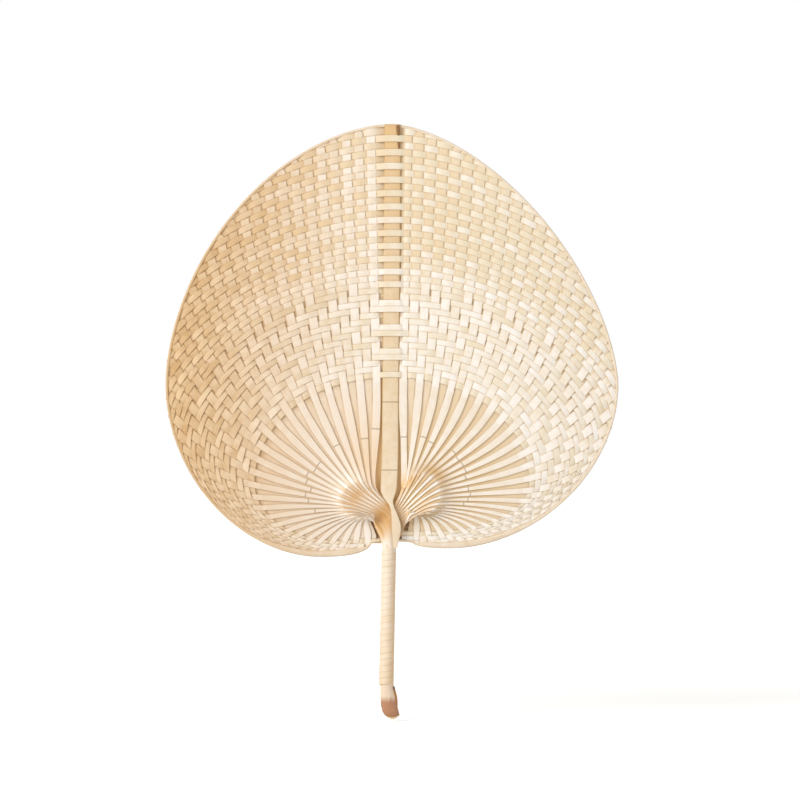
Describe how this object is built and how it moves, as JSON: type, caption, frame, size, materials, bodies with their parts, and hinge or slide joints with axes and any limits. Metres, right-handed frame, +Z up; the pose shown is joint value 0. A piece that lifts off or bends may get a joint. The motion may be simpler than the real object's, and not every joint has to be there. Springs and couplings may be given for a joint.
{
  "type": "bamboo hand fan",
  "caption": "Rigid heart-shaped hand fan woven from bamboo splints that fan out from a bound handle, with a flat centre rib and a narrow edging; waved by hand to move air.",
  "frame": {"origin": "middle of the wound grip, on its axis", "axes": "+Z up the handle to the leaf, +X to the right across the leaf seen from its front, front face along -Y"},
  "size_m": [0.3, 0.0098, 0.3956],
  "materials": {
    "pale_bamboo": "pale split bamboo, satin",
    "tan_bamboo": "tan split bamboo, satin",
    "rim_bamboo": "brown split bamboo, satin",
    "core_bamboo": "brown bamboo, cut and smoothed",
    "binding_bamboo": "pale bamboo strip, satin"
  },
  "bodies": {
    "root": {"stake_left_01": "tan_bamboo", "stake_left_02": "tan_bamboo", "stake_left_03": "tan_bamboo", "stake_left_04": "tan_bamboo", "stake_left_05": "tan_bamboo", "stake_left_06": "tan_bamboo", "stake_left_07": "tan_bamboo", "stake_left_08": "tan_bamboo", "stake_left_09": "tan_bamboo", "stake_left_10": "tan_bamboo", "stake_left_11": "tan_bamboo", "stake_left_12": "tan_bamboo", "stake_left_13": "tan_bamboo", "stake_left_14": "tan_bamboo", "stake_left_15": "tan_bamboo", "stake_left_16": "tan_bamboo", "stake_left_17": "tan_bamboo", "stake_right_01": "tan_bamboo", "stake_right_02": "tan_bamboo", "stake_right_03": "tan_bamboo", "stake_right_04": "tan_bamboo", "stake_right_05": "tan_bamboo", "stake_right_06": "tan_bamboo", "stake_right_07": "tan_bamboo", "stake_right_08": "tan_bamboo", "stake_right_09": "tan_bamboo", "stake_right_10": "tan_bamboo", "stake_right_11": "tan_bamboo", "stake_right_12": "tan_bamboo", "stake_right_13": "tan_bamboo", "stake_right_14": "tan_bamboo", "stake_right_15": "tan_bamboo", "stake_right_16": "tan_bamboo", "stake_right_17": "tan_bamboo", "weft_row_01": "pale_bamboo", "weft_row_02": "pale_bamboo", "weft_row_03": "pale_bamboo", "weft_row_04": "pale_bamboo", "weft_row_05": "pale_bamboo", "weft_row_06": "pale_bamboo", "weft_row_07": "pale_bamboo", "weft_row_08": "pale_bamboo", "weft_row_09": "pale_bamboo", "weft_row_10": "pale_bamboo", "weft_row_11": "pale_bamboo", "weft_row_12": "pale_bamboo", "weft_row_13": "pale_bamboo", "weft_row_14": "pale_bamboo", "weft_row_15": "pale_bamboo", "weft_row_16": "pale_bamboo", "weft_row_17": "pale_bamboo", "weft_row_18": "pale_bamboo", "weft_row_19": "pale_bamboo", "weft_row_20": "pale_bamboo", "weft_row_21": "pale_bamboo", "rim_edging": "rim_bamboo", "centre_rib": "pale_bamboo", "handle_core": "core_bamboo", "handle_binding": "binding_bamboo"}
  },
  "joints": []
}
